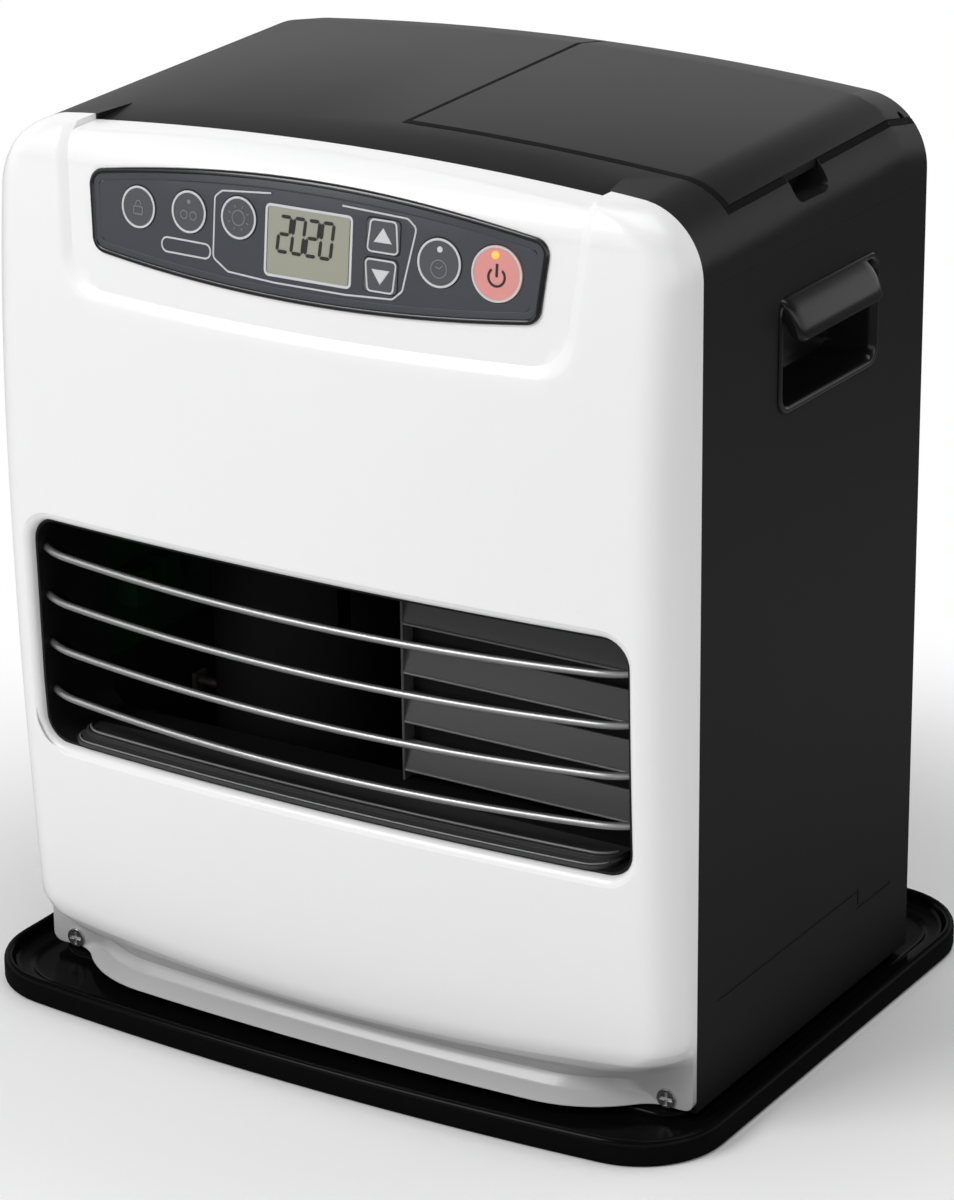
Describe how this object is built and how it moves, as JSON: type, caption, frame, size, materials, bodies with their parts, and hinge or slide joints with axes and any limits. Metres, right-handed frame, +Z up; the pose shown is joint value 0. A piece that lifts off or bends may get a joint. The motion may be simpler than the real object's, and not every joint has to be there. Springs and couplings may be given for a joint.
{
  "type": "paraffin_heater",
  "caption": "White-fronted paraffin fan heater on a black drip tray, with louvred outlet, control unit, lift-up tank lid, cartridge tank, vaporising burner and rear fan",
  "frame": {"origin": "on the floor under the middle of the drip tray", "axes": "+X to the viewer's right, front towards -Y, +Z up, metres"},
  "size_m": [0.371, 0.299, 0.416],
  "materials": {
    "tray_black": "moulded black plastic, satin",
    "front_white": "gloss white enamel on a pressed sheet",
    "screw_steel": "plated steel",
    "side_grey": "dark satin enamel",
    "handle_plastic": "dark grey satin plastic",
    "bezel_black": "gloss black plastic",
    "face_grey": "dark grey printed plastic",
    "lcd_glass": "pale display behind clear plastic",
    "module_plastic": "dark plastic",
    "board_green": "circuit board",
    "duct_grey": "grey heat-proof enamel",
    "inner_steel": "zinc-coated sheet steel",
    "burner_metal": "heat-darkened metal",
    "pipe_copper": "drawn copper pipe",
    "motor_steel": "steel",
    "fan_plastic": "light alloy fan",
    "guard_black": "black plastic and coated wire",
    "gauge_clear": "clear plastic sight strip",
    "button_grey": "dark grey rubber-like plastic",
    "button_pink": "pink translucent plastic"
  },
  "bodies": {
    "cabinet": {"base_tray": "tray_black", "front_panel": "front_white", "cabinet_screws": "screw_steel", "side_panel_left": "side_grey", "side_panel_right": "side_grey", "handle_left": "handle_plastic", "handle_right": "handle_plastic", "top_cover": "handle_plastic", "lid_hinge_pins": "screw_steel", "control_bezel": "bezel_black", "control_face": "face_grey", "lcd_window": "lcd_glass", "lcd_module": "module_plastic", "control_board": "board_green", "outlet_duct": "duct_grey", "outlet_sill": "duct_grey", "outlet_baffle": "duct_grey", "louver_1": "duct_grey", "louver_2": "duct_grey", "louver_3": "duct_grey", "louver_4": "duct_grey", "tank_partition": "inner_steel", "fixed_tank": "inner_steel", "fuel_strainer": "module_plastic", "fuel_pump": "inner_steel", "fuel_pipe": "pipe_copper", "burner_deck": "inner_steel", "burner_pot": "burner_metal", "burner_head": "burner_metal", "combustion_chamber": "burner_metal", "heat_shield": "inner_steel", "vaporizer": "burner_metal", "igniter": "burner_metal", "flame_rod": "burner_metal", "blower_housing": "inner_steel", "blower_motor": "motor_steel", "fan_motor": "motor_steel", "fan_bracket": "inner_steel", "rear_panel": "side_grey", "fan_guard": "guard_black", "main_board": "board_green", "tilt_switch": "module_plastic", "room_sensor": "module_plastic", "cord_gland": "module_plastic"},
    "lid": {"tank_lid": "handle_plastic"},
    "cartridge": {"cartridge_tank": "inner_steel", "tank_cap": "module_plastic", "tank_gauge": "gauge_clear"},
    "bail": {"tank_bail": "motor_steel"},
    "fan": {"fan_blades": "fan_plastic"},
    "impeller": {"blower_impeller": "fan_plastic"},
    "filter": {"rear_filter": "guard_black"},
    "button_lock_key": {"button_lock": "button_grey"},
    "button_extend_key": {"button_extend": "button_grey"},
    "button_mode_key": {"button_mode": "button_grey"},
    "button_timer_key": {"button_timer": "button_grey"},
    "button_power_key": {"button_power": "button_pink"},
    "button_up_key": {"button_up": "button_grey"},
    "button_down_key": {"button_down": "button_grey"}
  },
  "joints": [
    {"name": "lid_hinge", "type": "hinge", "parent": "cabinet", "child": "lid", "pos_m": [0.085, 0.0935, 0.398], "axis": [-1, 0, 0], "range_deg": [0, 100]},
    {"name": "tank_lift", "type": "slide", "parent": "cabinet", "child": "cartridge", "axis": [0, 0, 1], "range_m": [0, 0.175]},
    {"name": "bail_hinge", "type": "hinge", "parent": "cartridge", "child": "bail", "pos_m": [0.078, 0, 0.3464], "axis": [1, 0, 0], "range_deg": [0, 90]},
    {"name": "fan_spin", "type": "hinge", "parent": "cabinet", "child": "fan", "pos_m": [-0.066, 0.087, 0.19], "axis": [0, 1, 0], "continuous": true},
    {"name": "impeller_spin", "type": "hinge", "parent": "cabinet", "child": "impeller", "pos_m": [-0.098, -0.014, 0.02], "axis": [0, 0, 1], "continuous": true},
    {"name": "filter_unclip", "type": "slide", "parent": "cabinet", "child": "filter", "axis": [0, 1, 0], "range_m": [0, 0.06]},
    {"name": "button_lock_press", "type": "slide", "parent": "cabinet", "child": "button_lock_key", "axis": [0.0517, 0.9928, -0.1082], "range_m": [0, 0.0008], "stiffness_N_per_m": 400},
    {"name": "button_extend_press", "type": "slide", "parent": "cabinet", "child": "button_extend_key", "axis": [0.0357, 0.9933, -0.1099], "range_m": [0, 0.0008], "stiffness_N_per_m": 400},
    {"name": "button_mode_press", "type": "slide", "parent": "cabinet", "child": "button_mode_key", "axis": [0.0203, 0.9936, -0.111], "range_m": [0, 0.0008], "stiffness_N_per_m": 400},
    {"name": "button_timer_press", "type": "slide", "parent": "cabinet", "child": "button_timer_key", "axis": [-0.0384, 0.9936, -0.106], "range_m": [0, 0.0008], "stiffness_N_per_m": 400},
    {"name": "button_power_press", "type": "slide", "parent": "cabinet", "child": "button_power_key", "axis": [-0.0543, 0.993, -0.105], "range_m": [0, 0.0008], "stiffness_N_per_m": 400},
    {"name": "button_up_press", "type": "slide", "parent": "cabinet", "child": "button_up_key", "axis": [-0.0224, 0.9934, -0.1128], "range_m": [0, 0.0008], "stiffness_N_per_m": 400},
    {"name": "button_down_press", "type": "slide", "parent": "cabinet", "child": "button_down_key", "axis": [-0.0221, 0.995, -0.0976], "range_m": [0, 0.0008], "stiffness_N_per_m": 400}
  ],
  "couplings": [
    {"joint": "tank_lift", "follows": "lid_hinge", "m_per_rad": 0.1}
  ]
}
